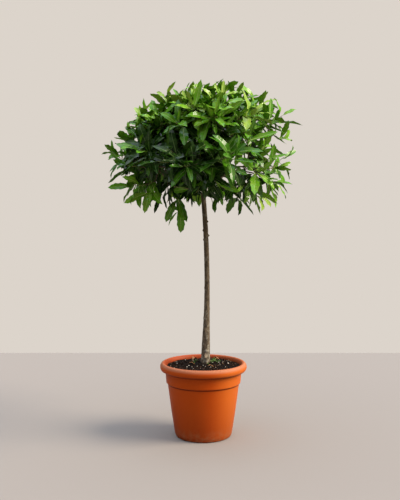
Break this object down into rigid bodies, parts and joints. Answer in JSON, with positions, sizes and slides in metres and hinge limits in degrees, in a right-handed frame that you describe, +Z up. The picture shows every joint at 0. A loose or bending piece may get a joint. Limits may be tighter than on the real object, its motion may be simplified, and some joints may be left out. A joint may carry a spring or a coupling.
{
  "type": "standard bay tree in a pot",
  "caption": "Evergreen standard tree: a round leafy head on one clear stem, in a round tapered pot with a rolled rim, filled with compost.",
  "frame": {"origin": "centre of the pot's flat underside", "axes": "+Z up along the stem, +X to the right and -Y towards the viewer of the picture"},
  "size_m": [0.8714, 0.8621, 1.5993],
  "materials": {
    "pot": "moulded terracotta-coloured plastic, satin",
    "compost": "dark moist bark compost",
    "bark": "smooth grey-brown bark",
    "foliage": "glossy evergreen leaves"
  },
  "bodies": {
    "root": {"pot": "pot", "compost": "compost", "stem": "bark", "bough_front": "bark", "bough_front_right": "bark", "bough_back_right": "bark", "bough_back": "bark", "bough_back_left": "bark", "bough_front_left": "bark", "bough_upper_front": "bark", "bough_upper_right": "bark", "bough_upper_back_right": "bark", "bough_upper_back_left": "bark", "bough_upper_left": "bark", "mass_front": "foliage", "mass_front_right": "foliage", "mass_back_right": "foliage", "mass_back": "foliage", "mass_back_left": "foliage", "mass_front_left": "foliage", "mass_upper_front": "foliage", "mass_upper_right": "foliage", "mass_upper_back_right": "foliage", "mass_upper_back_left": "foliage", "mass_upper_left": "foliage", "mass_top": "foliage"}
  },
  "joints": []
}
